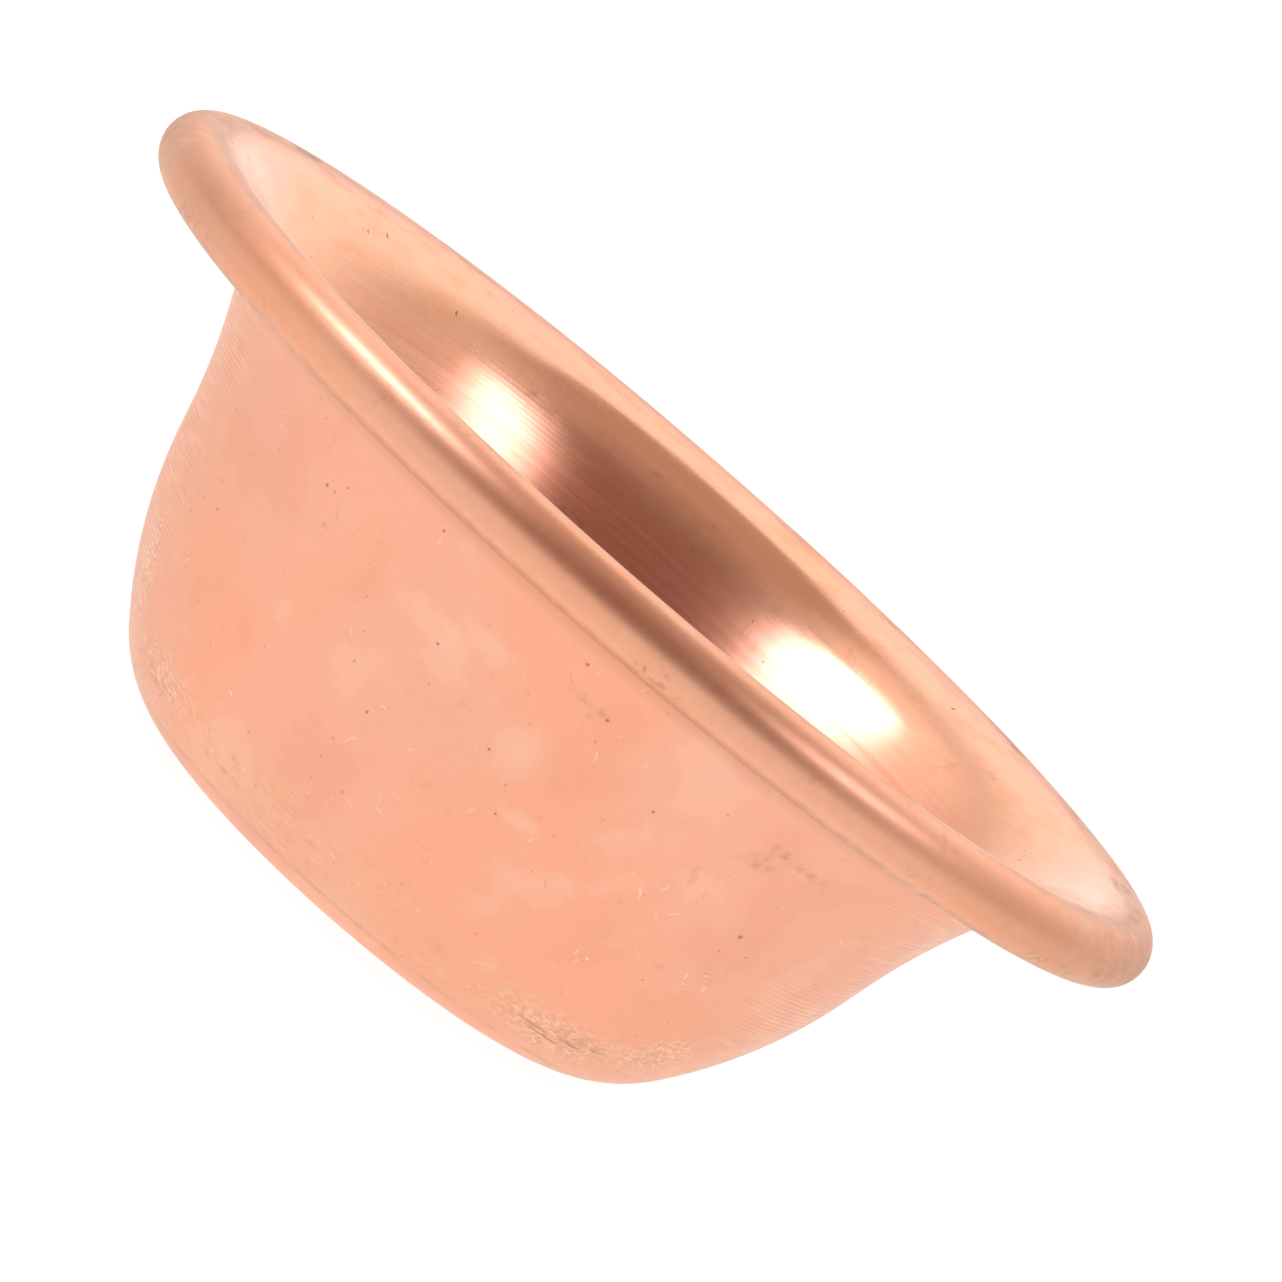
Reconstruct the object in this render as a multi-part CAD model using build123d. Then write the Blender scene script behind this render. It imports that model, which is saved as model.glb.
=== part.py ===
"""Small spun copper bowl with a wired rim.

The bowl is one disc of sheet copper, spun over a former and curled outwards at the rim round
a steel wire hoop. It stands on its flat base. Millimetres, +Z up, origin at the centre of the
base's underside, +Z along the axis of revolution.
"""

from build123d import *

import os
from math import cos, degrees, radians, sin

# Driving dimensions
RIM_DIAMETER = 80.0  # over the outside of the bead
HEIGHT = 30.8  # base underside to the top of the bead
SHEET = 0.65  # copper sheet thickness
BEAD_DIAMETER = 4.3  # outside of the rolled bead
WIRE_CLEARANCE = 0.02  # between the wire and the inside of the curl

# The wall's mid-line from base to lip: each arc's radius, and the slope above horizontal
# at which it hands over to the next one
CORNER_RADIUS = 8.7
CORNER_END_SLOPE = 52.4
BELLY_RADIUS = 31.2
WALL_SLOPE = 75.7
FLARE_RADIUS = 39.9
FLARE_END_SLOPE = 59.4
LIP_RADIUS = 7.0
CURL_TURN = 297.0  # how far the sheet wraps round the wire

# The wire hoop is a bent length of wire whose two ends butt together
BUTT_GAP = 0.3
BUTT_BEARING = 90.0  # degrees round from +X

BEAD_RADIUS = BEAD_DIAMETER / 2
CURL_MID_RADIUS = BEAD_RADIUS - SHEET / 2
WIRE_RADIUS = BEAD_RADIUS - SHEET - WIRE_CLEARANCE
HOOP_RADIUS = RIM_DIAMETER / 2 - BEAD_RADIUS
HOOP_HEIGHT = HEIGHT - BEAD_RADIUS

# Which way each face of the sheet lies from its mid-line, walking from the axis to the rim
FACE_SIDES = {"inside": 1, "outside": -1}


class Midline:
    """The sheet's mid-line in the XZ half plane, laid as straights and tangent arcs.

    Each stretch also lays the matching stretch of the sheet's two faces.
    """

    def __init__(self, radius, height):
        self.radius = radius
        self.height = height
        self.slope = 0.0
        self.faces = {name: [] for name in FACE_SIDES}

    def face_points(self):
        """The points of both faces, square to the mid-line at its present end."""
        across = (-sin(radians(self.slope)), cos(radians(self.slope)))
        points = {}
        for name, side in FACE_SIDES.items():
            away = side * SHEET / 2
            points[name] = (self.radius + away * across[0], 0, self.height + away * across[1])
        return points

    def straight(self, length):
        starts = self.face_points()
        self.radius += length * cos(radians(self.slope))
        self.height += length * sin(radians(self.slope))
        ends = self.face_points()
        for name in FACE_SIDES:
            self.faces[name].append(Line(starts[name], ends[name]))

    def turn_to(self, slope, bend_radius):
        """Follow a circle of bend_radius, signed positive when it turns upwards."""
        rise = cos(radians(self.slope)) - cos(radians(slope))
        run = sin(radians(slope)) - sin(radians(self.slope))
        self.radius += bend_radius * run
        self.height += bend_radius * rise
        self.slope = slope

    def arc(self, bend_radius, end_slope):
        """A tangent arc that ends at end_slope: it turns upwards if that is the steeper."""
        signed_radius = bend_radius if end_slope > self.slope else -bend_radius
        middle_slope = (self.slope + end_slope) / 2
        starts = self.face_points()
        self.turn_to(middle_slope, signed_radius)
        middles = self.face_points()
        self.turn_to(end_slope, signed_radius)
        ends = self.face_points()
        for name in FACE_SIDES:
            self.faces[name].append(ThreePointArc(starts[name], middles[name], ends[name]))


def lay_wall(base_flat, wall_straight):
    """The mid-line from the bowl's axis to the top of the bead."""
    line = Midline(0.0, SHEET / 2)
    line.straight(base_flat)
    line.arc(CORNER_RADIUS, CORNER_END_SLOPE)
    line.arc(BELLY_RADIUS, WALL_SLOPE)
    line.straight(wall_straight)
    line.arc(FLARE_RADIUS, FLARE_END_SLOPE)
    line.arc(LIP_RADIUS, 0.0)
    return line


def fitted_lengths():
    """The base's flat radius and the wall's straight that give the stated height and rim."""
    trial = 1.0
    line = lay_wall(trial, trial)
    rise_missing = HEIGHT - SHEET / 2 - line.height
    wall_straight = trial + rise_missing / sin(radians(WALL_SLOPE))
    run_missing = HOOP_RADIUS - line.radius
    base_flat = trial + run_missing - (wall_straight - trial) * cos(radians(WALL_SLOPE))
    return base_flat, wall_straight


def make_bowl_shell():
    base_flat, wall_straight = fitted_lengths()
    print(f"base flat radius {base_flat:.2f}, straight of the wall {wall_straight:.2f}")
    line = lay_wall(base_flat, wall_straight)
    line.arc(CURL_MID_RADIUS, -CURL_TURN)
    inside, outside = line.faces["inside"], line.faces["outside"]
    axis_edge = Line(inside[0] @ 0, outside[0] @ 0)
    cut_edge = Line(inside[-1] @ 1, outside[-1] @ 1)
    section = make_face([*inside, *outside, axis_edge, cut_edge])
    return revolve(section, Axis.Z, 360)


def make_rim_wire():
    gap_angle = degrees(BUTT_GAP / HOOP_RADIUS)
    section_plane = Plane(origin=(HOOP_RADIUS, 0, HOOP_HEIGHT), x_dir=(1, 0, 0), z_dir=(0, -1, 0))
    section = section_plane * Circle(WIRE_RADIUS)
    hoop = revolve(section, Axis.Z, 360 - gap_angle)
    return Rot(0, 0, BUTT_BEARING + gap_angle / 2) * hoop


def main():
    os.makedirs("parts", exist_ok=True)
    export_step(make_bowl_shell(), "parts/bowl_shell.step")
    export_step(make_rim_wire(), "parts/rim_wire.step")


main()
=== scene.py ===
import math

import bpy
from mathutils import Matrix, Vector


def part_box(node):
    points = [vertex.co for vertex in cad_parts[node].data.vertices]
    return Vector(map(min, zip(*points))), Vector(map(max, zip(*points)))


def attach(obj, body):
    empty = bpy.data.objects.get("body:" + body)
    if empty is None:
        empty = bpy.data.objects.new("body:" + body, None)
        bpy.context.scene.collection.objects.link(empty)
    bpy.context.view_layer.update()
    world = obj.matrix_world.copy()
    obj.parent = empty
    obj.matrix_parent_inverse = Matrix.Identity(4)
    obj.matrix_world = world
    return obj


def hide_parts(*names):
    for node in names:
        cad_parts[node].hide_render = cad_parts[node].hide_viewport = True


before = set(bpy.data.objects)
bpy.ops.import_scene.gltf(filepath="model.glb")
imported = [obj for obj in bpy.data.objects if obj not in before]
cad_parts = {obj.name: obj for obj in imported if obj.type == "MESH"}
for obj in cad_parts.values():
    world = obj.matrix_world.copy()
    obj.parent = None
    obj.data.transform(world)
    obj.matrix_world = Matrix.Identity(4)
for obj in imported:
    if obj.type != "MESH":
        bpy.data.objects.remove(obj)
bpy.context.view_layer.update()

MM = 0.001

# ---------------------------------------------------------------- the bowl's own dimensions, millimetres
_, shell_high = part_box("bowl_shell")
RIM_RADIUS = shell_high[0] / MM
HEIGHT = shell_high[2] / MM
SHEET = 0.65
BEAD_RADIUS = 2.15
CORNER_RADIUS, CORNER_END_SLOPE = 8.7, 52.4
BELLY_RADIUS, WALL_SLOPE = 31.2, 75.7
FLARE_RADIUS, FLARE_END_SLOPE = 39.9, 59.4
LIP_RADIUS = 7.0
CURL_TURN = 297.0
CURL_MID_RADIUS = BEAD_RADIUS - SHEET / 2
HOOP_RADIUS = RIM_RADIUS - BEAD_RADIUS

# ---------------------------------------------------------------- how finely the shell is meshed
SEGMENTS = 288  # round the axis
ARC_STEP = 1.0  # longest step along the section, millimetres
TURN_STEP = 6.0  # largest turn between two points of the section, degrees
SPIN_SEED = 7
RIM_WAVE = 0.07  # how far the hand-rolled rim wanders from true, millimetres

# ---------------------------------------------------------------- copper
COPPER = (0.935, 0.452, 0.308)
COPPER_WARM = (0.965, 0.430, 0.262)
COPPER_ROSY = (0.905, 0.445, 0.325)
COPPER_PALE = (0.965, 0.530, 0.375)
COPPER_BRIGHT = (1.000, 0.730, 0.560)
COPPER_DEEP = (0.850, 0.360, 0.215)
COPPER_DARK = (0.700, 0.250, 0.130)
COPPER_DULL = (0.930, 0.540, 0.320)
BLOOM = (0.820, 0.470, 0.345)  # the greyish film that handling leaves
GRIME = (0.560, 0.285, 0.165)
SCUFF = (0.400, 0.185, 0.085)
PIT = (0.260, 0.085, 0.045)
EDGE_TINT = (1.0, 0.94, 0.88, 1.0)  # what copper keeps of its colour at a glancing angle
LINE_PITCH = 0.33  # feed of the spinning tool, millimetres

# Wear, as (bearing, run, half its width, half its height): the bearing in degrees from the
# front, + to the right, and the run along the sheet from the axis, with the sizes, in millimetres.
WALL_WORKING_RADIUS = 28.0
LIP_WORKING_RADIUS = 38.0
WALL_PITS = (
    (-52, 35.0, 0.13, 0.13), (-36, 41.8, 0.19, 0.19), (-33, 42.7, 0.13, 0.13), (-19, 45.4, 0.15, 0.15),
    (-14, 33.0, 0.15, 0.16), (-12, 39.4, 0.18, 0.15), (1, 36.5, 0.14, 0.14), (3, 45.2, 0.20, 0.17),
    (7, 33.6, 0.13, 0.13), (9, 43.1, 0.16, 0.18), (21, 40.2, 0.16, 0.16), (44, 36.8, 0.23, 0.22),
    (56, 27.0, 0.12, 0.10), (64, 43.9, 0.10, 0.10),
)
HANDLED_PATCHES = (
    (-13, 40.2, 4.4, 1.6), (-7, 41.6, 3.0, 1.4), (4, 37.6, 2.2, 2.6), (10, 34.2, 2.4, 0.9),
)
WALL_SMUDGES = (
    (37, 43.1, 1.5, 0.8), (41, 43.1, 3.2, 0.5), (36, 41.8, 1.6, 0.9), (6, 43.2, 2.4, 0.45),
    (50, 25.9, 0.6, 0.6),
)
CORNER_GRIME = ((-56, 22.9, 6.0, 1.0), (-31, 22.1, 4.5, 0.5), (48, 23.6, 5.5, 1.2))
CHAFED_CORNER = ((42, 23.0, 11.0, 3.0), (60, 26.0, 5.0, 4.0), (-52, 23.4, 9.0, 2.6), (-68, 28.0, 3.5, 6.0))
CORNER_SCUFFS = ((38, 22.8, 2.4, 0.22), (46, 23.0, 2.2, 0.26), (42, 22.4, 3.0, 0.14), (51, 23.6, 1.6, 0.14))
NICKED_PLACES = (
    (-5, 29.1, 3.4, 2.6), (-11, 27.2, 2.0, 1.4), (-34, 26.6, 2.6, 1.4), (30, 35.8, 4.2, 1.6),
    (11, 33.8, 1.8, 0.9), (46, 32.6, 2.8, 2.4), (31, 29.6, 2.0, 1.2), (-37, 30.2, 1.2, 1.2),
)
LIP_PITS = (
    (-129, 51.6, 0.20, 0.26), (-142, 49.6, 0.16, 0.22), (-125, 51.0, 0.12, 0.20), (108, 48.6, 0.12, 0.14),
    (142, 52.2, 0.16, 0.22),
)
LIP_STAINS = ((177, 49.5, 1.0, 0.5), (-174, 49.5, 0.8, 0.4), (-124, 50.8, 0.9, 0.5), (129, 50.5, 1.2, 0.6))
RIM_SCUFFS = (
    (119, 55.2, 3.6, 0.8), (101, 55.0, 4.4, 1.1), (137, 55.2, 4.4, 0.7), (-138, 55.2, 5.4, 0.6),
    (154, 55.2, 5.0, 0.6), (-118, 55.2, 5.4, 0.5),
)
BLOOMED_LIP = ((98, 50.6, 19.0, 5.6), (-100, 51.5, 10.0, 3.5))
RUBBED_LIP = ((80, 53.0, 15.0, 5.5), (-82, 53.0, 16.0, 5.5))
DULLED_ENDS = ((84, 57.6, 17.0, 4.0), (-88, 58.0, 14.0, 3.4))
# Grime on the bead, with painted shadow where the spots lie on its underside.
BEAD_GRIME_AND_SHADOW = (
    (7, 59.7, 2.4, 0.5), (61, 59.7, 6.0, 0.9), (80, 59.0, 3.5, 1.2), (-60, 59.8, 5.5, 0.9),
    (42, 60.3, 6.0, 0.5), (-57, 57.9, 0.4, 0.3), (24, 58.1, 0.3, 0.2),
)

# Places along the sheet, as the run from the axis in millimetres. A pair says where a change
# begins and where it is complete.
BASE_EDGE_RUN = 19.8  # a fine line that the chuck left round the base
CORNER_STARTS = (19.0, 21.0)
CORNER_FADES = (26.5, 23.0)
LIP_STARTS = (45.0, 48.5)
NIP_RUN = 47.2  # where the bead meets the wall
CREST_NEARS = (52.0, 55.0)
RIM_SIDES_DARKEN_STARTS = (52.8, 55.2)
CREST_STARTS = (53.9, 55.0)
CREST_FADES = (56.2, 55.5)
BEAD_SHADE_STARTS = (56.0, 57.4)
BEAD_SHADE_FADES = (60.1, 58.9)
BEAD_UNDERSIDE_STARTS = (59.75, 60.3)


class Nodes:
    """Adds nodes to one tree. An input may be a plain value or another node's output."""

    def __init__(self, tree):
        self.tree = tree

    def add(self, kind, inputs=None, **settings):
        node = self.tree.nodes.new(kind)
        for name, value in settings.items():
            setattr(node, name, value)
        for key, value in (inputs or {}).items():
            if isinstance(value, bpy.types.NodeSocket):
                self.tree.links.new(value, node.inputs[key])
            else:
                node.inputs[key].default_value = value
        return node

    def math(self, operation, *values):
        return self.add("ShaderNodeMath", dict(enumerate(values)), operation=operation).outputs[0]

    def times(self, *values):
        """The product of several values."""
        result = values[0]
        for value in values[1:]:
            result = self.math("MULTIPLY", result, value)
        return result

    def vector(self, operation, *values):
        node = self.add("ShaderNodeVectorMath", dict(enumerate(values)), operation=operation)
        return node.outputs["Value" if operation in ("LENGTH", "DISTANCE", "DOT_PRODUCT") else "Vector"]

    def scaled(self, vector, factor):
        node = self.add("ShaderNodeVectorMath", {0: vector, "Scale": factor}, operation="SCALE")
        return node.outputs["Vector"]

    def most(self, *values):
        """The largest of several values."""
        result = values[0]
        for value in values[1:]:
            result = self.math("MAXIMUM", result, value)
        return result

    def ramp(self, value, start, end, low=0.0, high=1.0):
        """A smooth step from low at start to high at end. start may be the larger one."""
        if start > end:
            start, end, low, high = end, start, high, low
        inputs = {"Value": value, "From Min": start, "From Max": end, "To Min": low, "To Max": high}
        return self.add("ShaderNodeMapRange", inputs, interpolation_type="SMOOTHSTEP").outputs["Result"]

    def blend(self, factor, first, second):
        inputs = {0: factor, 6: opaque(first), 7: opaque(second)}
        return self.add("ShaderNodeMix", inputs, data_type="RGBA").outputs[2]

    def shifted(self, vector, offset):
        """The vector moved away, so that two textures that share it don't look alike."""
        return self.vector("ADD", vector, (offset, offset * 0.7, offset * 1.3))

    def noise(self, vector, scale, detail=2.0, roughness=0.5, offset=0.0):
        moved = self.shifted(vector, offset)
        inputs = {"Vector": moved, "Scale": scale, "Detail": detail, "Roughness": roughness}
        return self.add("ShaderNodeTexNoise", inputs).outputs["Fac"]

    def point(self, x, y, z):
        return self.add("ShaderNodeCombineXYZ", {"X": x, "Y": y, "Z": z}).outputs["Vector"]

    def split(self, vector):
        return self.add("ShaderNodeSeparateXYZ", {"Vector": vector}).outputs


def opaque(colour):
    """A colour as a node's colour input takes it: another node's output, or red, green, blue and 1."""
    if isinstance(colour, bpy.types.NodeSocket):
        return colour
    return (*colour, 1.0)


# ---------------------------------------------------------------- section of the spun sheet
def section_outline():
    """Points (radius, height, run, side) of the sheet's outline, from the inside's centre to the underside's.

    run is the distance along the sheet from the axis, and side is 1 on the face that is the
    bowl's inside and -1 on the other.
    """
    radius, height, slope, run = 0.0, SHEET / 2, 0.0, 0.0
    middle = [(radius, height, slope, run)]

    def straight(length):
        nonlocal radius, height, run
        steps = max(1, math.ceil(length / ARC_STEP))
        for _ in range(steps):
            radius += length / steps * math.cos(math.radians(slope))
            height += length / steps * math.sin(math.radians(slope))
            run += length / steps
            middle.append((radius, height, slope, run))

    def arc(bend_radius, end_slope):
        nonlocal radius, height, slope, run
        turn = end_slope - slope
        length = bend_radius * abs(math.radians(turn))
        steps = max(math.ceil(abs(turn) / TURN_STEP), math.ceil(length / ARC_STEP))
        signed = math.copysign(bend_radius, turn)
        for _ in range(steps):
            next_slope = slope + turn / steps
            radius += signed * (math.sin(math.radians(next_slope)) - math.sin(math.radians(slope)))
            height += signed * (math.cos(math.radians(slope)) - math.cos(math.radians(next_slope)))
            slope = next_slope
            run += length / steps
            middle.append((radius, height, slope, run))

    base_flat, wall_straight = fitted_lengths()
    straight(base_flat)
    arc(CORNER_RADIUS, CORNER_END_SLOPE)
    arc(BELLY_RADIUS, WALL_SLOPE)
    straight(wall_straight)
    arc(FLARE_RADIUS, FLARE_END_SLOPE)
    arc(LIP_RADIUS, 0.0)
    arc(CURL_MID_RADIUS, -CURL_TURN)
    inside = [face_point(point, 1) for point in middle]
    outside = [face_point(point, -1) for point in reversed(middle)]
    return inside + outside


def face_point(point, side):
    """The point of one face of the sheet that lies over a point of its middle."""
    radius, height, slope, run = point
    angle = math.radians(slope)
    away = side * SHEET / 2
    return (max(0.0, radius - away * math.sin(angle)), height + away * math.cos(angle), run, side)


def fitted_lengths():
    """The base's flat radius and the wall's straight that meet the rim's radius and height."""
    slopes = [0.0, CORNER_END_SLOPE, WALL_SLOPE, FLARE_END_SLOPE, 0.0]
    bends = [CORNER_RADIUS, BELLY_RADIUS, -FLARE_RADIUS, -LIP_RADIUS]
    out, rise = 0.0, SHEET / 2
    for bend, start, end in zip(bends, slopes, slopes[1:]):
        out += bend * (math.sin(math.radians(end)) - math.sin(math.radians(start)))
        rise += bend * (math.cos(math.radians(start)) - math.cos(math.radians(end)))
    wall_straight = (HEIGHT - SHEET / 2 - rise) / math.sin(math.radians(WALL_SLOPE))
    base_flat = HOOP_RADIUS - out - wall_straight * math.cos(math.radians(WALL_SLOPE))
    return base_flat, wall_straight


def lip_crest_run():
    """The run at which the sheet lies level, at the top of the lip, before it curls over."""
    outline = section_outline()
    return max(point for point in outline if point[3] > 0 and abs(point[1] - HEIGHT) < 1e-6)[2]


def section_mesh():
    """The section as a chain of edges in the XZ plane, in metres, that carries run and side."""
    outline = section_outline()
    mesh = bpy.data.meshes.new("sheet_section")
    edges = [(i, i + 1) for i in range(len(outline) - 1)]
    mesh.from_pydata([(radius * MM, 0.0, height * MM) for radius, height, _, _ in outline], edges, [])
    for name, column in (("run", 2), ("side", 3)):
        attribute = mesh.attributes.new(name, "FLOAT", "POINT")
        attribute.data.foreach_set("value", [float(point[column]) for point in outline])
    return mesh


# ---------------------------------------------------------------- spinning the section round the axis
def spinning_tree():
    """Geometry Nodes: turns a section in the XZ plane round Z, with a slightly wandering rim."""
    tree = bpy.data.node_groups.new("spin_sheet", "GeometryNodeTree")
    sockets = tree.interface
    sockets.new_socket(name="Section", in_out="INPUT", socket_type="NodeSocketGeometry")
    sockets.new_socket(name="Segments", in_out="INPUT", socket_type="NodeSocketInt")
    sockets.new_socket(name="Height", in_out="INPUT", socket_type="NodeSocketFloat")
    sockets.new_socket(name="Rim wander", in_out="INPUT", socket_type="NodeSocketFloat")
    sockets.new_socket(name="Seed", in_out="INPUT", socket_type="NodeSocketFloat")
    sockets.new_socket(name="Crest run", in_out="INPUT", socket_type="NodeSocketFloat")
    for name in ("Inside copper", "Bead copper", "Outside copper"):
        sockets.new_socket(name=name, in_out="INPUT", socket_type="NodeSocketMaterial")
    sockets.new_socket(name="Sheet", in_out="OUTPUT", socket_type="NodeSocketGeometry")

    n = Nodes(tree)
    given = n.add("NodeGroupInput").outputs
    section = given["Section"]
    size = n.add("GeometryNodeAttributeDomainSize", {"Geometry": section}).outputs["Point Count"]
    columns = n.math("ADD", given["Segments"], 1.0)
    grid = n.add("GeometryNodeMeshGrid", {"Vertices X": size, "Vertices Y": columns}).outputs["Mesh"]

    index = n.add("GeometryNodeInputIndex").outputs["Index"]
    row = n.math("FLOOR", n.math("DIVIDE", n.math("ADD", index, 0.5), columns))
    column = n.math("SUBTRACT", index, n.times(row, columns))
    angle = n.times(n.math("DIVIDE", column, given["Segments"]), math.tau)

    def from_section(value, data_type):
        inputs = {"Geometry": section, "Value": value, "Index": row}
        return n.add("GeometryNodeSampleIndex", inputs, data_type=data_type).outputs["Value"]

    def named(name):
        node = n.add("GeometryNodeInputNamedAttribute", {"Name": name}, data_type="FLOAT")
        return node.outputs["Attribute"]

    position = n.add("GeometryNodeInputPosition").outputs["Position"]
    place = n.split(from_section(position, "FLOAT_VECTOR"))
    run = from_section(named("run"), "FLOAT")
    side = from_section(named("side"), "FLOAT")

    cosine, sine = n.math("COSINE", angle), n.math("SINE", angle)
    rimward = n.math("POWER", n.math("DIVIDE", place["Z"], given["Height"]), 3.0)
    reach = n.times(given["Rim wander"], rimward)

    def wander(shift):
        """A noise that closes on itself round the axis, from -1 to 1."""
        where = n.point(cosine, sine, n.math("ADD", given["Seed"], shift))
        value = n.noise(where, 1.3, detail=1.0)
        return n.math("MULTIPLY_ADD", value, 2.0, -1.0)

    radius = n.math("MULTIPLY_ADD", reach, wander(0.0), place["X"])
    height = n.math("MULTIPLY_ADD", reach, wander(5.0), place["Z"])
    on_axis = n.math("LESS_THAN", place["X"], 1e-7)
    radius = n.times(radius, n.math("SUBTRACT", 1.0, on_axis))
    spun = n.point(n.times(radius, cosine), n.times(radius, sine), height)

    def stored(mesh, name, value):
        inputs = {"Geometry": mesh, "Name": name, "Value": value}
        node = n.add("GeometryNodeStoreNamedAttribute", inputs, data_type="FLOAT", domain="POINT")
        return node.outputs["Geometry"]

    sheet = stored(grid, "run", run)
    sheet = stored(sheet, "side", side)
    sheet = n.add("GeometryNodeSetPosition", {"Geometry": sheet, "Position": spun}).outputs["Geometry"]
    sheet = n.add("GeometryNodeMergeByDistance", {"Geometry": sheet, "Distance": 1e-7}).outputs["Geometry"]
    sheet = n.add("GeometryNodeSetShadeSmooth", {"Geometry": sheet}).outputs["Geometry"]
    sheet = n.add("GeometryNodeRealizeInstances", {"Geometry": sheet}).outputs["Geometry"]
    inner_face = n.math("GREATER_THAN", named("side"), 0.0)
    past_crest = n.math("GREATER_THAN", named("run"), given["Crest run"])
    on_bead = n.times(inner_face, past_crest)
    finishes = (("Outside copper", None), ("Inside copper", inner_face), ("Bead copper", on_bead))
    for name, where in finishes:
        inputs = {"Geometry": sheet, "Material": given[name]}
        if where is not None:
            inputs["Selection"] = where
        sheet = n.add("GeometryNodeSetMaterial", inputs).outputs["Geometry"]
    n.add("NodeGroupOutput", {"Sheet": sheet})
    return tree


def spin_shell(materials):
    """The whole sheet, spun from its section and kept as a plain mesh."""
    section = bpy.data.objects.new("sheet_section", section_mesh())
    bpy.context.scene.collection.objects.link(section)
    modifier = section.modifiers.new("spin", "NODES")
    modifier.node_group = spinning_tree()
    values = {
        "Segments": SEGMENTS,
        "Height": HEIGHT * MM,
        "Rim wander": RIM_WAVE * MM,
        "Seed": float(SPIN_SEED),
        "Crest run": lip_crest_run(),
        "Inside copper": materials["inside"],
        "Bead copper": materials["bead"],
        "Outside copper": materials["outside"],
    }
    for socket in modifier.node_group.interface.items_tree:
        if socket.in_out == "INPUT" and socket.name in values:
            modifier[socket.identifier] = values[socket.name]
    evaluated = section.evaluated_get(bpy.context.evaluated_depsgraph_get())
    mesh = bpy.data.meshes.new_from_object(evaluated)
    mesh.name = "spun_shell"
    if mesh.materials[0] is None:  # the empty slot that the bare section came with
        mesh.materials.pop(index=0)
    bpy.data.objects.remove(section)
    shell = bpy.data.objects.new("spun_shell", mesh)
    bpy.context.scene.collection.objects.link(shell)
    return shell


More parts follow.
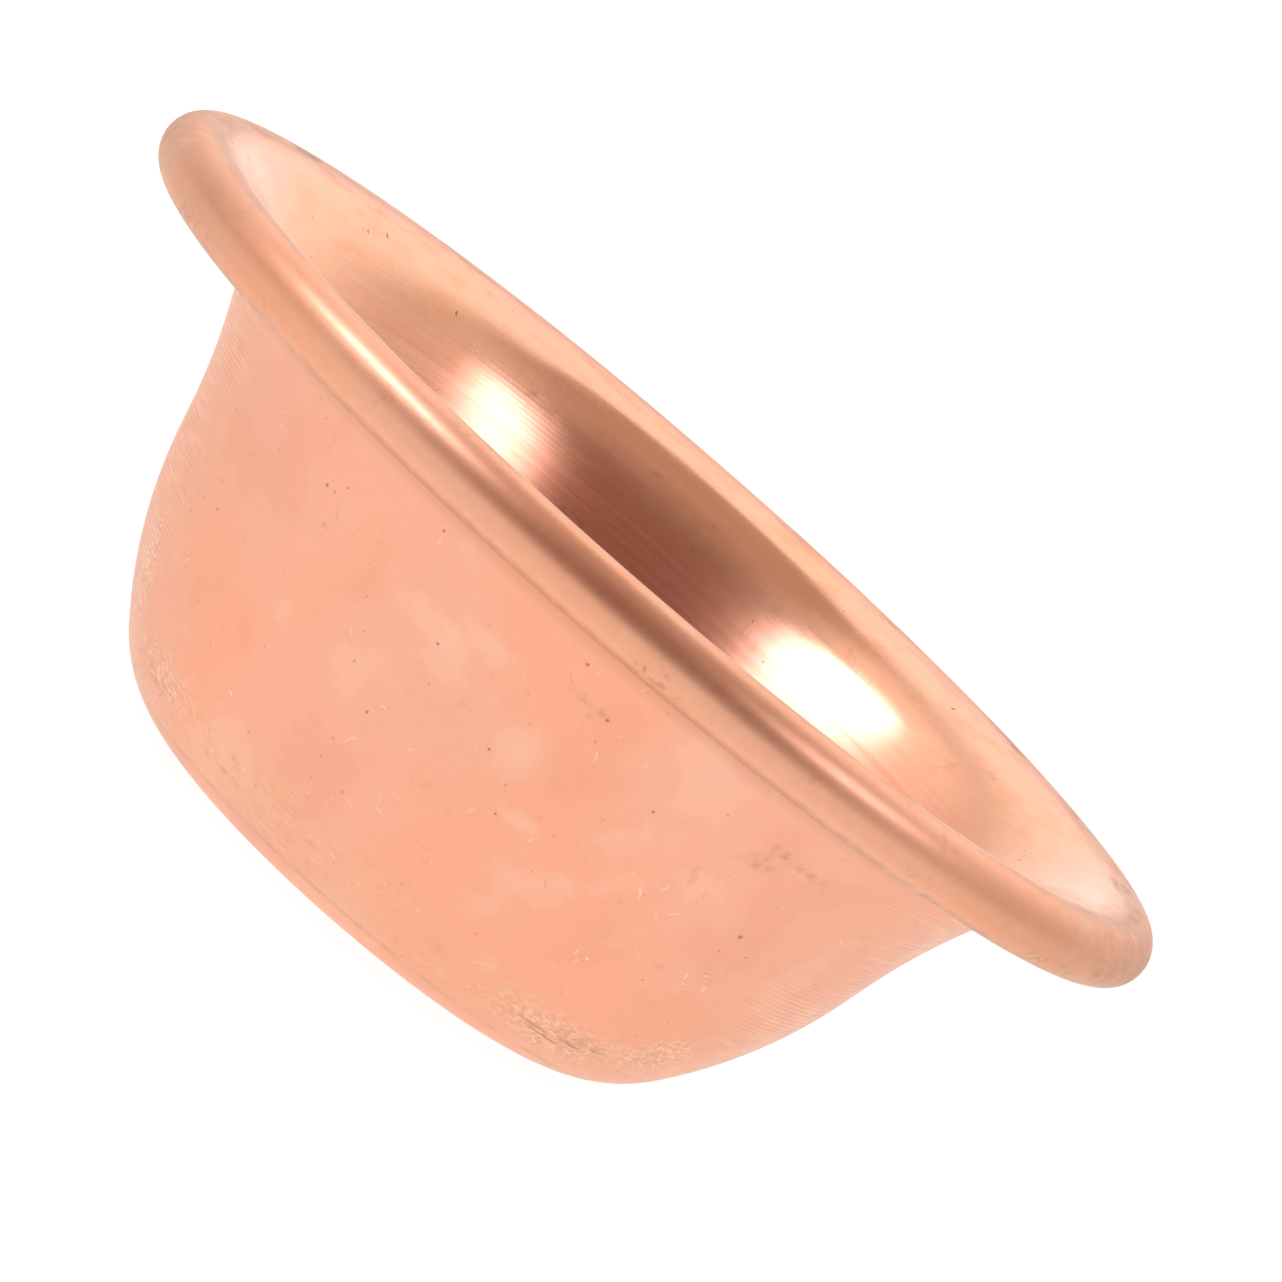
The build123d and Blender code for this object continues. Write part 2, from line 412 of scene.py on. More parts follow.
# ---------------------------------------------------------------- materials
class SheetFace:
    """Where a point lies on the spun sheet, for the layers of finish and wear to read. Millimetres."""

    def __init__(self, nodes, working_radius):
        n = self.n = nodes
        self.place = n.scaled(n.add("ShaderNodeTexCoord").outputs["Object"], 1 / MM)
        self.run = n.add("ShaderNodeAttribute", attribute_name="run").outputs["Fac"]
        x, y, _ = n.split(self.place)
        self.outwards = n.vector("NORMALIZE", n.point(x, y, 0.0))
        out_x, out_y, _ = n.split(self.outwards)
        self.around = n.point(n.times(out_y, -1.0), out_x, 0.0)
        normal = n.add("ShaderNodeNewGeometry").outputs["Normal"]
        self.across = n.vector("CROSS_PRODUCT", normal, self.around)
        self.ring_x = n.times(out_x, working_radius)
        self.ring_y = n.times(out_y, working_radius)
        self.bearing = n.math("ARCTAN2", x, n.times(y, -1.0))  # 0 in front, + to the right
        self.to_side = n.math("ABSOLUTE", self.bearing)
        # the two wider sides, which are made darker, and the narrower sides, where the lines get painted
        # highlights and shade
        self.darker_sides = n.times(n.ramp(self.to_side, 0.55, 1.20), n.ramp(self.to_side, 2.6, 1.9))
        self.sides = n.times(n.ramp(self.to_side, 0.85, 1.35), n.ramp(self.to_side, 2.2, 1.8))
        self.unrolled = n.point(n.times(self.bearing, working_radius), self.run, 0.0)
        self.working_radius = working_radius

    def along_lines(self, across, around, offset=0.0, detail=2.0):
        """Noise drawn out round the axis: across and around are its scales per millimetre."""
        n = self.n
        stretched = n.point(
            n.times(self.ring_x, around),
            n.times(self.ring_y, around),
            n.times(self.run, across),
        )
        return n.noise(stretched, 1.0, detail=detail, offset=offset)

    def spot(self, bearing, run, wide, tall, edge=0.5, ragged=None, raggedness=0.0):
        """1 inside an oval at a bearing (degrees) and run, 0 outside it. edge is the soft share."""
        n = self.n
        centre = (math.radians(bearing) * self.working_radius, run, 0.0)
        away = n.vector("MULTIPLY", n.vector("SUBTRACT", self.unrolled, centre), (1 / wide, 1 / tall, 0.0))
        distance = n.vector("LENGTH", away)
        if ragged is not None:
            distance = n.math("MULTIPLY_ADD", ragged, -raggedness, n.math("ADD", distance, raggedness / 2))
        return n.ramp(distance, 1.0, 1.0 - edge)

    def spots(self, places, **shape):
        """1 inside any oval of a wear table."""
        n = self.n
        return n.most(*[self.spot(*place, **shape) for place in places])

    def sparse(self, cell, share, offset=0.0):
        """Cells about cell millimetres across, each with one mark at most.

        Gives the place measured from the cell's middle, 1 in the share of cells that have a
        mark, and two random values for its size and turn.
        """
        n = self.n
        moved = n.shifted(self.place, offset)
        cells = n.add("ShaderNodeTexVoronoi", {"Vector": moved, "Scale": 1 / cell}, feature="F1")
        away = n.vector("SUBTRACT", moved, cells.outputs["Position"])
        first, second, third = n.split(cells.outputs["Color"])
        return away, n.math("LESS_THAN", first, share), second, third

    def pits(self, cell, share, radius, offset=0.0):
        """Round pits of uneven size, scattered without order."""
        n = self.n
        away, chosen, size, _ = self.sparse(cell, share, offset)
        reach = n.times(n.math("MULTIPLY_ADD", size, 0.9, 0.4), radius)
        across = n.vector("LENGTH", n.vector("SUBTRACT", away, self.along_normal(away)))
        return n.times(chosen, n.ramp(n.math("DIVIDE", across, reach), 1.2, 0.6))

    def along_normal(self, vector):
        """The part of a vector that leaves the sheet."""
        n = self.n
        normal = n.vector("CROSS_PRODUCT", self.around, self.across)
        return n.scaled(normal, n.vector("DOT_PRODUCT", vector, normal))

    def nicks(self, cell, share, length, width, offset=0.0, bend=0.5):
        """Short bent scratches at every angle."""
        n = self.n
        away, chosen, turn, size = self.sparse(cell, share, offset)
        east = n.vector("DOT_PRODUCT", away, self.around)
        north = n.vector("DOT_PRODUCT", away, self.across)
        angle = n.times(turn, math.tau)
        cosine, sine = n.math("COSINE", angle), n.math("SINE", angle)
        along = n.math("ADD", n.times(east, cosine), n.times(north, sine))
        aside = n.math("SUBTRACT", n.times(north, cosine), n.times(east, sine))
        aside = n.math("MULTIPLY_ADD", n.times(along, along), bend, aside)
        reach = n.times(n.math("MULTIPLY_ADD", size, 0.8, 0.3), length)
        thin = n.ramp(n.math("ABSOLUTE", aside), width, width * 0.3)
        short = n.ramp(n.math("DIVIDE", n.math("ABSOLUTE", along), reach), 1.0, 0.6)
        return n.times(thin, short, chosen)


class Finish:
    """Colour, surface height (mm) and roughness of one finish, built up layer by layer."""

    def __init__(self, name, working_radius):
        self.material = bpy.data.materials.new(name)
        self.material.use_nodes = True
        self.material.node_tree.nodes.clear()
        self.n = Nodes(self.material.node_tree)
        self.face = SheetFace(self.n, working_radius)
        self.colour = COPPER
        self.height = 0.0
        self.roughness = 0.3
        self.bare = 1.0  # 1 for clean metal, less under dirt

    def tint(self, amount, colour, strength=1.0):
        """Blends a colour over what is there."""
        n = self.n
        self.colour = n.blend(n.times(amount, strength), self.colour, colour)

    def shade(self, value, contrast):
        """Lightens and darkens what is there: value runs from 0 to 1."""
        n = self.n
        factor = n.math("MULTIPLY_ADD", value, contrast, 1.0 - contrast / 2)
        self.colour = n.scaled(self.colour, factor)

    def darken(self, where, share):
        n = self.n
        self.colour = n.scaled(self.colour, n.math("MULTIPLY_ADD", where, -share, 1.0))

    def raise_by(self, value, height):
        self.height = self.n.math("MULTIPLY_ADD", value, height, self.height)

    def roughen(self, value, amount):
        self.roughness = self.n.math("MULTIPLY_ADD", value, amount, self.roughness)

    def soil(self, amount, colour, strength=1.0):
        """Dirt lying on the metal: it tints it and takes the shine away."""
        n = self.n
        self.tint(amount, colour, strength)
        self.bare = n.math("MULTIPLY_ADD", amount, -strength * 0.7, self.bare)

    def tool_lines(self, depth, contrast, uneven=1.0, at_sides=1.0, roughened=0.10):
        """The tool's even feed, coming and going, with finer uneven lines between.

        depth is in millimetres, contrast is the share by which a line is lighter than its gap,
        uneven weighs the finer lines, and at_sides says how much more the lines are painted lighter
        and darker at the sides, as painted highlights and shade.
        """
        n, face = self.n, self.face
        drift = face.along_lines(0.5, 0.02, 3.0)
        phase = n.math("MULTIPLY_ADD", drift, 1.5, n.times(face.run, math.tau / LINE_PITCH))
        feed = n.math("MULTIPLY_ADD", n.math("SINE", phase), 0.5, 0.5)
        strength = n.ramp(face.along_lines(0.3, 0.04, 9.0), 0.38, 0.60, 0.15, 1.1)
        # at the sides the lines' contrast is raised, mostly in colour: painted highlights and shade
        strength = n.times(strength, n.math("MULTIPLY_ADD", face.sides, at_sides - 1.0, 1.0))
        feed = n.math("SUBTRACT", feed, 0.5)
        marked = n.times(feed, strength)
        fine = face.along_lines(5.0, 0.03, 17.0, detail=1.0)
        self.raise_by(n.times(feed, n.math("MINIMUM", strength, 1.3)), depth * 2)
        self.raise_by(fine, depth * 1.5 * uneven)
        self.shade(n.math("ADD", marked, 0.5), contrast)
        self.shade(fine, contrast * 2.2 * uneven)
        self.roughen(fine, roughened)

    def done(self, anisotropy):
        """Joins the layers in one metal shader whose highlights stretch across the tool's lines."""
        n = self.n
        bump = n.add("ShaderNodeBump", {"Height": self.height, "Strength": 1.0, "Distance": MM})
        inputs = {
            "Base Color": self.colour,
            "Metallic": n.math("MAXIMUM", self.bare, 0.2),
            "Specular Tint": EDGE_TINT,
            "Roughness": self.roughness,
            "Normal": bump.outputs["Normal"],
            "Tangent": self.face.around,
            "Anisotropic": anisotropy,
            "Anisotropic Rotation": 0.25,
        }
        shader = n.add("ShaderNodeBsdfPrincipled", inputs)
        n.add("ShaderNodeOutputMaterial", {"Surface": shader.outputs["BSDF"]})
        return self.material


def mottle(finish, pale, warm):
    """Slow drifts of colour that bare copper picks up: warm against rosy, and soft pale patches."""
    n, face = finish.n, finish.face
    drift = n.noise(face.place, 0.055, detail=2.0, offset=2.0)
    finish.tint(n.ramp(drift, 0.50, 0.62), COPPER_WARM, warm)
    finish.tint(n.ramp(drift, 0.48, 0.36), COPPER_ROSY, warm)
    patch = n.noise(face.place, 0.16, detail=3.0, roughness=0.45, offset=41.0)
    finish.tint(n.ramp(patch, 0.56, 0.66), COPPER_PALE, pale)
    finish.tint(n.ramp(patch, 0.44, 0.34), COPPER_DEEP, pale * 0.5)
    grain = n.noise(face.place, 3.2, detail=2.0, offset=11.0)
    finish.shade(grain, 0.05)


def spun_outside():
    """The outside wall and underside, straight off the tool, with the wear of years, and painted highlights
    and shade towards the sides.
    """
    finish = Finish("copper_spun_outside", WALL_WORKING_RADIUS)
    n, face = finish.n, finish.face
    finish.roughness = 0.27
    mottle(finish, pale=0.50, warm=0.70)
    # painted shade: the wall is made darker towards its two wider sides
    finish.darken(face.darker_sides, 0.09)
    # the tool's lines, painted much lighter and darker at the narrower sides as painted highlights and shade
    finish.tool_lines(depth=0.0030, contrast=0.024, at_sides=9.0)
    ragged = n.noise(face.place, 0.9, detail=3.0, offset=23.0)

    # soft pale patches where the wall has been handled
    handled = face.spots(HANDLED_PATCHES, edge=0.75, ragged=ragged, raggedness=1.1)
    finish.tint(handled, COPPER_PALE, 0.70)

    # grey-brown smudges
    speckle = n.ramp(n.noise(face.place, 1.6, detail=3.0, offset=57.0), 0.42, 0.62)
    smudged = face.spots(WALL_SMUDGES, edge=0.9, ragged=ragged, raggedness=0.8)
    finish.tint(n.times(smudged, n.math("MULTIPLY_ADD", speckle, 0.75, 0.25)), GRIME, 0.55)
    stained = n.ramp(n.noise(face.place, 0.45, detail=2.0, offset=77.0), 0.64, 0.76)
    finish.tint(n.times(stained, speckle), GRIME, 0.25)

    # painted highlights and painted shade along the lines where the wall turns away at the sides
    painted_glints = n.ramp(face.along_lines(2.6, 0.22, 111.0, detail=2.0), 0.50, 0.64)
    finish.tint(n.times(face.sides, painted_glints), COPPER_DULL, 0.50)
    painted_line_shade = n.ramp(face.along_lines(2.6, 0.20, 117.0, detail=2.0), 0.52, 0.68)
    finish.tint(n.times(face.sides, painted_line_shade), GRIME, 0.14)

    # the corner at the base: rubbed pale, grimy, with dark scuffs along the lines
    corner = n.times(n.ramp(face.run, *CORNER_STARTS), n.ramp(face.run, *CORNER_FADES))
    worn_streaks = n.ramp(face.along_lines(4.0, 0.5, 61.0, detail=3.0), 0.38, 0.62)
    rubbed = n.times(corner, n.ramp(face.along_lines(0.4, 0.06, 5.0), 0.35, 0.60, 0.25, 1.0))
    finish.tint(n.times(rubbed, worn_streaks), COPPER_DULL, 0.60)
    chafed = face.spots(CHAFED_CORNER, edge=0.9, ragged=ragged, raggedness=1.2)
    chafing = n.ramp(face.along_lines(4.5, 1.6, 103.0, detail=3.0), 0.44, 0.60)
    finish.tint(n.times(chafed, chafing), COPPER_BRIGHT, 0.45)
    finish.tint(n.times(chafed, n.math("SUBTRACT", 1.0, chafing)), GRIME, 0.20)
    finish.raise_by(n.times(chafed, chafing), 0.004)
    grimy = face.spots(CORNER_GRIME, edge=0.9, ragged=ragged, raggedness=0.8)
    grimy = n.most(grimy, n.times(rubbed, 0.22))
    finish.tint(n.times(grimy, n.math("MULTIPLY_ADD", speckle, 0.8, 0.2)), GRIME, 0.50)
    scuffed = face.spots(CORNER_SCUFFS, edge=0.95, ragged=face.along_lines(6.0, 0.35, 83.0), raggedness=1.4)
    finish.soil(scuffed, SCUFF, 0.60)
    edge_line = n.ramp(n.math("ABSOLUTE", n.math("SUBTRACT", face.run, BASE_EDGE_RUN)), 0.45, 0.05)
    broken = n.ramp(face.along_lines(0.3, 0.3, 47.0, detail=3.0), 0.35, 0.60, 0.25, 1.0)
    finish.tint(n.times(edge_line, broken), GRIME, 0.38)

    # grime and painted shade in the nip under the bead
    nip_grime_and_shade = n.ramp(face.run, NIP_RUN - 1.6, NIP_RUN)
    finish.soil(nip_grime_and_shade, GRIME, 0.40)

    # pale nicks and scratches, thickest in a few places
    crowded = face.spots(NICKED_PLACES, edge=1.0, ragged=ragged, raggedness=0.6)
    crowded = n.math("MAXIMUM", crowded, n.times(corner, n.ramp(ragged, 0.52, 0.66, 0.0, 0.7)))
    faint = n.ramp(n.noise(face.place, 0.7, detail=1.0, offset=97.0), 0.38, 0.62, 0.25, 1.0)
    nicked = n.times(face.nicks(1.2, 0.80, 0.50, 0.10, offset=3.0), crowded)
    scattered = face.nicks(3.0, 0.30, 0.50, 0.09, offset=19.0)
    hairs = face.nicks(7.0, 0.40, 2.4, 0.030, offset=29.0, bend=0.06)
    nicked = n.most(nicked, n.times(scattered, 0.45), n.times(hairs, 0.35))
    nicked = n.times(nicked, faint)
    finish.tint(nicked, COPPER_BRIGHT, 0.90)
    finish.raise_by(nicked, -0.004)
    dark_nicks = face.nicks(3.4, 0.18, 0.40, 0.09, offset=43.0, bend=0.8)
    finish.tint(dark_nicks, GRIME, 0.30)

    # pits
    small = face.pits(2.3, 0.16, 0.095, offset=7.0)
    finish.tint(small, PIT, 0.32)
    known = face.spots(WALL_PITS, edge=0.8)
    finish.tint(known, PIT, 0.68)
    finish.raise_by(n.most(known, n.times(small, 0.4)), -0.008)
    finish.roughen(ragged, 0.10)
    return finish.done(anisotropy=0.25)


def worn_crest(finish, ragged, smears):
    """The top of the rim, where lip and bead meet: knocked and dulled, more so at the two ends."""
    n, face = finish.n, finish.face
    # the rim made darker towards its two sides
    finish.darken(n.times(face.darker_sides, n.ramp(face.run, *RIM_SIDES_DARKEN_STARTS)), 0.15)
    crest = n.times(n.ramp(face.run, *CREST_STARTS), n.ramp(face.run, *CREST_FADES))
    finish.tint(n.times(crest, n.math("MULTIPLY_ADD", smears, 0.5, 0.5)), GRIME, 0.50)
    finish.darken(crest, 0.08)
    ends = face.spots(DULLED_ENDS, edge=0.9, ragged=ragged, raggedness=0.6)
    finish.tint(n.times(ends, n.math("MULTIPLY_ADD", smears, 0.5, 0.5)), COPPER_DEEP, 0.55)
    blotched = n.ramp(n.noise(face.place, 0.8, detail=4.0, offset=121.0), 0.42, 0.60)
    finish.tint(n.times(ends, blotched), GRIME, 0.55)
    finish.darken(ends, 0.17)
    finish.roughen(ends, 0.06)
    specks = face.pits(0.9, 0.35, 0.10, offset=133.0)
    finish.tint(n.times(ends, specks), PIT, 0.45)
    finish.soil(face.spots(RIM_SCUFFS, edge=0.9, ragged=smears, raggedness=1.0), SCUFF, 0.70)


def spun_inside():
    """The inside: the wall and floor are brighter and more closely lined, and the lip is rubbed."""
    finish = Finish("copper_spun_inside", LIP_WORKING_RADIUS)
    n, face = finish.n, finish.face
    finish.roughness = 0.20
    mottle(finish, pale=0.32, warm=0.7)
    on_lip = n.ramp(face.run, *LIP_STARTS)
    below_lip = n.math("SUBTRACT", 1.0, on_lip)
    finish.tool_lines(depth=0.0004, contrast=0.044, uneven=1.3, roughened=0.045)
    rings = n.times(n.ramp(face.along_lines(1.1, 0.012, 71.0, detail=1.0), 0.40, 0.66), below_lip)
    finish.tint(rings, COPPER_DEEP, 0.34)
    tarnish = n.ramp(face.along_lines(2.4, 0.07, 73.0, detail=2.0), 0.46, 0.62)
    finish.tint(n.times(tarnish, below_lip), COPPER_DARK, 0.24)
    smears = n.times(n.ramp(face.along_lines(0.9, 0.22, 91.0, detail=4.0), 0.48, 0.66), on_lip)
    finish.tint(smears, COPPER_DEEP, 0.60)
    finish.roughen(smears, 0.06)
    near_crest = n.ramp(face.run, *CREST_NEARS)
    finish.roughen(on_lip, -0.10)
    finish.roughen(near_crest, 0.22)
    finish.tint(n.math("SUBTRACT", on_lip, near_crest), COPPER_DULL, 0.28)
    ragged = n.noise(face.place, 0.9, detail=3.0, offset=23.0)

    # hairline scratches across the lip, thickest towards its two ends
    rubbed = n.most(
        n.times(on_lip, 0.08),
        face.spots(RUBBED_LIP, edge=0.9, ragged=ragged, raggedness=0.5),
    )
    hair = n.ramp(face.along_lines(0.45, 4.5, 13.0, detail=2.0), 0.50, 0.64)
    hair = n.times(hair, n.times(rubbed, on_lip))
    finish.tint(hair, COPPER_BRIGHT, 0.6)
    dark_hair = n.ramp(face.along_lines(0.6, 3.6, 33.0, detail=3.0), 0.49, 0.62)
    finish.tint(n.times(dark_hair, n.times(rubbed, on_lip)), GRIME, 0.38)
    finish.raise_by(hair, -0.003)
    finish.roughen(hair, 0.10)

    # a dull blotchy film where the lip has been handled
    bloomed = face.spots(BLOOMED_LIP, edge=1.0, ragged=ragged, raggedness=0.6)
    blotches = n.ramp(n.noise(face.place, 0.55, detail=4.0, offset=141.0), 0.38, 0.60, 0.30, 1.0)
    finish.tint(n.times(bloomed, blotches), BLOOM, 0.85)
    finish.darken(bloomed, 0.04)

    # flecks and stains
    flecks = face.nicks(1.6, 0.40, 0.22, 0.07, offset=5.0)
    finish.tint(flecks, COPPER_PALE, 0.45)
    speckle = n.ramp(n.noise(face.place, 1.6, detail=3.0, offset=57.0), 0.45, 0.65)
    stained = n.ramp(n.noise(face.place, 0.3, detail=2.0, offset=37.0), 0.62, 0.72)
    stained = n.most(stained, face.spots(LIP_STAINS, edge=0.9, ragged=ragged, raggedness=1.0))
    finish.tint(n.times(stained, speckle), GRIME, 0.38)
    rim_smears = n.ramp(face.along_lines(1.2, 0.25, 91.0, detail=4.0), 0.46, 0.64)
    worn_crest(finish, ragged, rim_smears)
    small = face.pits(2.1, 0.14, 0.08, offset=7.0)
    finish.tint(small, PIT, 0.40)
    known = face.spots(LIP_PITS, edge=0.5)
    finish.tint(known, PIT, 0.7)
    finish.raise_by(n.most(known, n.times(small, 0.4)), -0.015)
    finish.roughen(ragged, 0.06)
    return finish.done(anisotropy=0.25)


def rolled_bead():
    """The bead: burnished by the rolling wheel, knocked and dulled on its crest, with painted shade round its
    outer face, and grime and painted shade on its underside.
    """
    finish = Finish("copper_rolled_bead", LIP_WORKING_RADIUS)
    n, face = finish.n, finish.face
    finish.roughness = 0.30
    mottle(finish, pale=0.32, warm=0.7)
    # painted shade: a darker band round the bead's outer face
    bead_shade_band = n.times(n.ramp(face.run, *BEAD_SHADE_STARTS), n.ramp(face.run, *BEAD_SHADE_FADES))
    finish.darken(bead_shade_band, 0.18)
    finish.tint(1.0, COPPER_DULL, 0.25)
    finish.tool_lines(depth=0.0006, contrast=0.010)
    ragged = n.noise(face.place, 0.9, detail=3.0, offset=23.0)
    hair = n.ramp(face.along_lines(0.5, 4.0, 13.0, detail=2.0), 0.60, 0.72)
    finish.tint(hair, COPPER_PALE, 0.08)
    finish.roughen(hair, 0.04)
    peel = n.ramp(n.noise(face.place, 1.3, detail=3.0, offset=67.0), 0.40, 0.62)
    finish.tint(peel, COPPER_DEEP, 0.18)
    smears = n.ramp(face.along_lines(1.2, 0.25, 91.0, detail=4.0), 0.46, 0.64)
    finish.tint(smears, COPPER_DEEP, 0.18)
    worn_crest(finish, ragged, smears)
    # grime and painted shade on the bead's underside
    bead_underside_grime_and_shade = n.times(n.ramp(face.run, *BEAD_UNDERSIDE_STARTS), n.ramp(ragged, 0.30, 0.60, 0.45, 1.0))
    finish.soil(bead_underside_grime_and_shade, GRIME, 0.60)
    speckle = n.ramp(n.noise(face.place, 1.6, detail=3.0, offset=57.0), 0.45, 0.65)
    # grime, and painted shadow where the listed spots lie on the bead's underside
    grimy = face.spots(BEAD_GRIME_AND_SHADOW, edge=0.8, ragged=ragged, raggedness=1.0)
    stained = n.ramp(n.noise(face.place, 0.35, detail=2.0, offset=37.0), 0.60, 0.72)
    grimy = n.most(grimy, n.times(stained, 0.45))
    finish.soil(n.times(grimy, speckle), SCUFF, 0.5)
    dents = face.pits(2.3, 0.22, 0.10, offset=7.0)
    finish.tint(dents, COPPER_DEEP, 0.45)
    finish.raise_by(dents, -0.006)
    finish.roughen(ragged, 0.10)
    return finish.done(anisotropy=0.2)


def drawn_steel():
    """Drawn wire: grey steel with a fine uneven grain."""
    material = bpy.data.materials.new("drawn_steel_wire")
    material.use_nodes = True
    material.node_tree.nodes.clear()
    n = Nodes(material.node_tree)
    place = n.scaled(n.add("ShaderNodeTexCoord").outputs["Object"], 1 / MM)
    grain = n.noise(place, 3.0, detail=4.0)
    colour = n.blend(grain, (0.36, 0.36, 0.37), (0.58, 0.58, 0.60))
    rough = n.ramp(grain, 0.3, 0.7, 0.28, 0.42)
    bump = n.add("ShaderNodeBump", {"Height": grain, "Strength": 0.3, "Distance": 0.02 * MM})
    inputs = {"Base Color": colour, "Roughness": rough, "Metallic": 1.0, "Normal": bump.outputs["Normal"]}
    shader = n.add("ShaderNodeBsdfPrincipled", inputs)
    n.add("ShaderNodeOutputMaterial", {"Surface": shader.outputs["BSDF"]})
    return material


# ---------------------------------------------------------------- studio
FRONT_MIDDLE = -6.0  # bearing of the middle of the side that has no backdrop, degrees
DARKEST_BEARING = 8.0  # the middle of the unlit part of the room, degrees
PALE_WALL_BEARING = -94.0  # the middle of the pale wall, degrees
ROOM_SIDES = (0.76, 0.70, 0.66)
ROOM_CEILING = (0.54, 0.43, 0.37)
PALE_WALL = (1.15, 1.05, 1.00)
DARK_FRONT = (0.25, 0.155, 0.135)
BACKDROP_LOW = (1.18, 1.18, 1.18)
BACKDROP_HIGH = (1.26, 1.24, 1.22)
FLOOR_RADIUS = 4.0
FLOOR_ALBEDO = 0.12
FLOOR_GLOW = 0.95
FLOOR_DROP = 0.02 * MM  # keeps the floor clear of the base's underside
PANEL_LIGHT = (1.0, 1.03, 1.22, 1.0)  # a little cooler than the room
CAMERA_DISTANCE = 0.6
CAMERA_ELEVATION = 7.33  # degrees
CAMERA_ROLL = 41.1  # degrees
CAMERA_AIM = Vector((3.06, 0.0, 23.4)) * MM
CAMERA_LENS = 270.8
SENSOR = 36.0


def make_floor():
    """A pale light table. Its underside lets the view through, so that the base can be seen."""
    mesh = bpy.data.meshes.new("floor")
    reach, level = FLOOR_RADIUS, -FLOOR_DROP
    corners = [(-reach, -reach, level), (reach, -reach, level), (reach, reach, level), (-reach, reach, level)]
    mesh.from_pydata(corners, [], [(0, 1, 2, 3)])
    floor = bpy.data.objects.new("floor", mesh)
    bpy.context.scene.collection.objects.link(floor)
    material = bpy.data.materials.new("pale_light_table")
    material.use_nodes = True
    material.node_tree.nodes.clear()
    n = Nodes(material.node_tree)
    _, y, _ = n.split(n.add("ShaderNodeTexCoord").outputs["Object"])
    forward = n.times(y, -1.0)
    reflected = n.math("SUBTRACT", 1.0, n.add("ShaderNodeLightPath").outputs["Is Camera Ray"])
    dimming = n.times(reflected, n.ramp(forward, 0.12, 0.40, 0.0, 0.5))
    glow = n.math("MULTIPLY_ADD", dimming, -FLOOR_GLOW, FLOOR_GLOW)
    inputs = {
        "Base Color": (FLOOR_ALBEDO, FLOOR_ALBEDO, FLOOR_ALBEDO, 1.0),
        "Roughness": 0.9,
        "Specular IOR Level": 0.0,
        "Emission Color": (1.0, 1.0, 1.0, 1.0),
        "Emission Strength": glow,
    }
    table = n.add("ShaderNodeBsdfPrincipled", inputs)
    clear = n.add("ShaderNodeBsdfTransparent")
    behind = n.add("ShaderNodeNewGeometry").outputs["Backfacing"]
    mixed = n.add("ShaderNodeMixShader", {0: behind, 1: table.outputs[0], 2: clear.outputs[0]})
    n.add("ShaderNodeOutputMaterial", {"Surface": mixed.outputs[0]})
    mesh.materials.append(material)


def room_light():
    """A world that is a studio: a white backdrop behind, a dim warm room in front, and a pale left wall.

    Its colour depends on the direction alone. Seen straight from the camera it is white.
    """
    world = bpy.data.worlds.new("studio_room")
    bpy.context.scene.world = world
    world.use_nodes = True
    world.node_tree.nodes.clear()
    n = Nodes(world.node_tree)
    direction = n.add("ShaderNodeTexCoord").outputs["Generated"]
    x, y, z = n.split(direction)
    degrees_per_radian = math.degrees(1.0)
    bearing = n.times(n.math("ARCTAN2", x, n.times(y, -1.0)), degrees_per_radian)
    off_front = n.math("ABSOLUTE", n.math("SUBTRACT", bearing, FRONT_MIDDLE))
    off_dark = n.math("ABSOLUTE", n.math("SUBTRACT", bearing, DARKEST_BEARING))
    elevation = n.times(n.math("ARCSINE", z), degrees_per_radian)
    room = n.blend(n.ramp(elevation, 50.0, 72.0), ROOM_SIDES, ROOM_CEILING)
    off_left = n.math("ABSOLUTE", n.math("SUBTRACT", bearing, PALE_WALL_BEARING))
    at_left = n.times(n.ramp(off_left, 38.0, 8.0), n.ramp(elevation, 72.0, 56.0))
    room = n.blend(n.times(at_left, n.ramp(elevation, 8.0, 30.0)), room, PALE_WALL)
    in_front = n.times(n.ramp(off_dark, 75.0, 20.0), n.ramp(elevation, 80.0, 45.0))
    room = n.blend(in_front, room, DARK_FRONT)
    backdrop = n.blend(n.ramp(elevation, 0.0, 65.0), BACKDROP_LOW, BACKDROP_HIGH)
    behind = n.times(n.ramp(off_front, 104.0, 154.0), n.ramp(elevation, 69.5, 66.0))
    room = n.blend(behind, room, backdrop)
    seen = n.add("ShaderNodeLightPath").outputs["Is Camera Ray"]
    room = n.blend(seen, room, (1.0, 1.0, 1.0))
    background = n.add("ShaderNodeBackground", {"Color": room, "Strength": 1.0})
    n.add("ShaderNodeOutputWorld", {"Surface": background.outputs["Background"]})


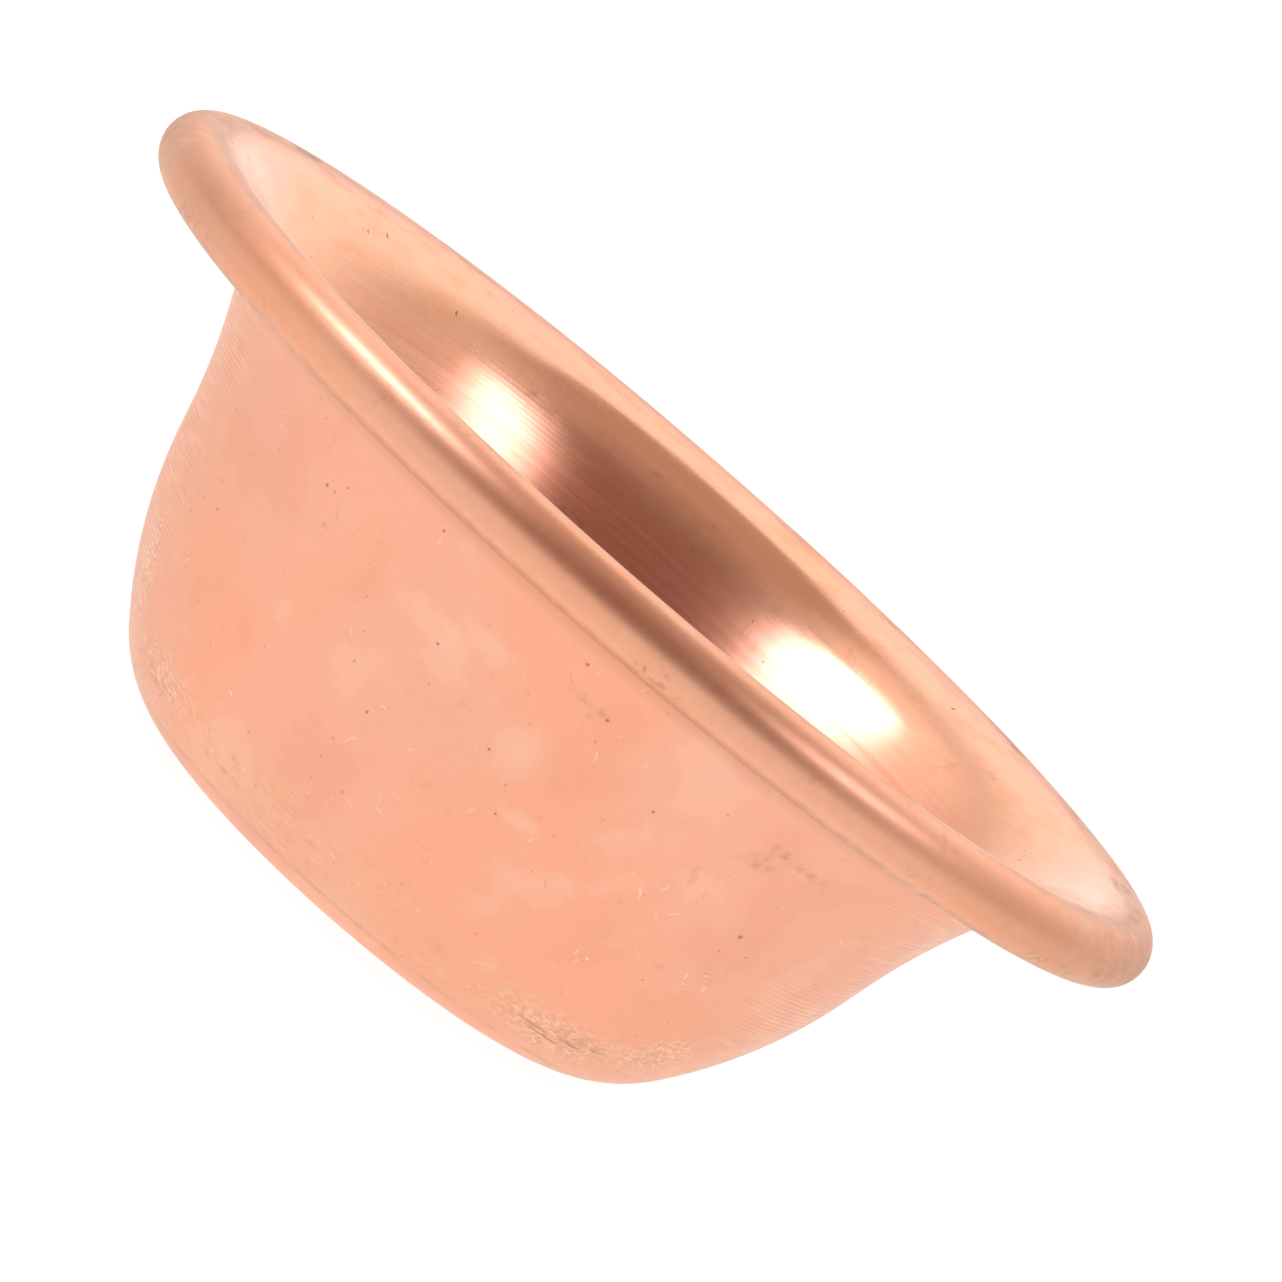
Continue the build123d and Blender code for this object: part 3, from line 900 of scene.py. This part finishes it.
def softbox(name, bearing, elevation, distance, width, height, core, radiance):
    """A lit panel that faces the bowl, hot in the middle and fading to clear at its edges.

    bearing and elevation are in degrees and the sizes in metres. core is the share of its
    half-width that is fully lit.
    """
    turn, lift = math.radians(bearing), math.radians(elevation)
    level = Vector((math.sin(turn), -math.cos(turn), 0.0))
    towards = level * math.cos(lift) + Vector((0.0, 0.0, math.sin(lift)))
    across = Vector((math.cos(turn), math.sin(turn), 0.0))
    upwards = towards.cross(across)
    centre = towards * distance
    corners = [(-1, -1), (1, -1), (1, 1), (-1, 1)]
    mesh = bpy.data.meshes.new(name)
    points = [centre + across * (i * width / 2) + upwards * (j * height / 2) for i, j in corners]
    mesh.from_pydata(points, [], [(0, 1, 2, 3)])
    layer = mesh.uv_layers.new(name="panel")
    for loop, (i, j) in zip(layer.data, corners):
        loop.uv = (i, j)
    material = bpy.data.materials.new(name)
    material.use_nodes = True
    material.node_tree.nodes.clear()
    n = Nodes(material.node_tree)
    u, v, _ = n.split(n.add("ShaderNodeTexCoord").outputs["UV"])
    fade_u = n.ramp(n.math("ABSOLUTE", u), 1.0, core)
    fade_v = n.ramp(n.math("ABSOLUTE", v), 1.0, core)
    strength = n.times(fade_u, fade_v, radiance)
    glow = n.add("ShaderNodeEmission", {"Color": PANEL_LIGHT, "Strength": strength})
    clear = n.add("ShaderNodeBsdfTransparent")
    both = n.add("ShaderNodeAddShader", {0: glow.outputs[0], 1: clear.outputs[0]})
    n.add("ShaderNodeOutputMaterial", {"Surface": both.outputs[0]})
    mesh.materials.append(material)
    panel = bpy.data.objects.new(name, mesh)
    panel.visible_camera = False
    bpy.context.scene.collection.objects.link(panel)


def make_camera():
    """A long lens in front, a little above the rim and rolled in its own view."""
    lift, roll = math.radians(CAMERA_ELEVATION), math.radians(CAMERA_ROLL)
    back = Vector((0.0, -math.cos(lift), math.sin(lift)))
    level_right = Vector((1.0, 0.0, 0.0))
    level_up = back.cross(level_right)
    right = level_right * math.cos(roll) + level_up * math.sin(roll)
    up = level_up * math.cos(roll) - level_right * math.sin(roll)
    data = bpy.data.cameras.new("camera")
    data.lens, data.sensor_width = CAMERA_LENS, SENSOR
    data.clip_start, data.clip_end = 0.01, 50.0
    camera = bpy.data.objects.new("camera", data)
    turned = Matrix((right, up, back)).transposed().to_4x4()
    camera.matrix_world = Matrix.Translation(CAMERA_AIM + back * CAMERA_DISTANCE) @ turned
    bpy.context.scene.collection.objects.link(camera)
    bpy.context.scene.camera = camera


# ---------------------------------------------------------------- assembly
finishes = {"inside": spun_inside(), "bead": rolled_bead(), "outside": spun_outside()}
shell = spin_shell(finishes)
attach(shell, "root")
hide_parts("bowl_shell")

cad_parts["rim_wire"].material_slots[0].material = drawn_steel()

make_floor()
room_light()
softbox(
    "left_softbox",
    bearing=-68.0, elevation=48.0, distance=0.345, width=0.27, height=0.108, core=0.25, radiance=6.6,
)
softbox(
    "right_softbox",
    bearing=61.0, elevation=44.5, distance=0.35, width=0.20, height=0.110, core=0.12, radiance=5.4,
)
make_camera()

scene = bpy.context.scene
scene.view_settings.view_transform = "Standard"
scene.view_settings.look = "None"
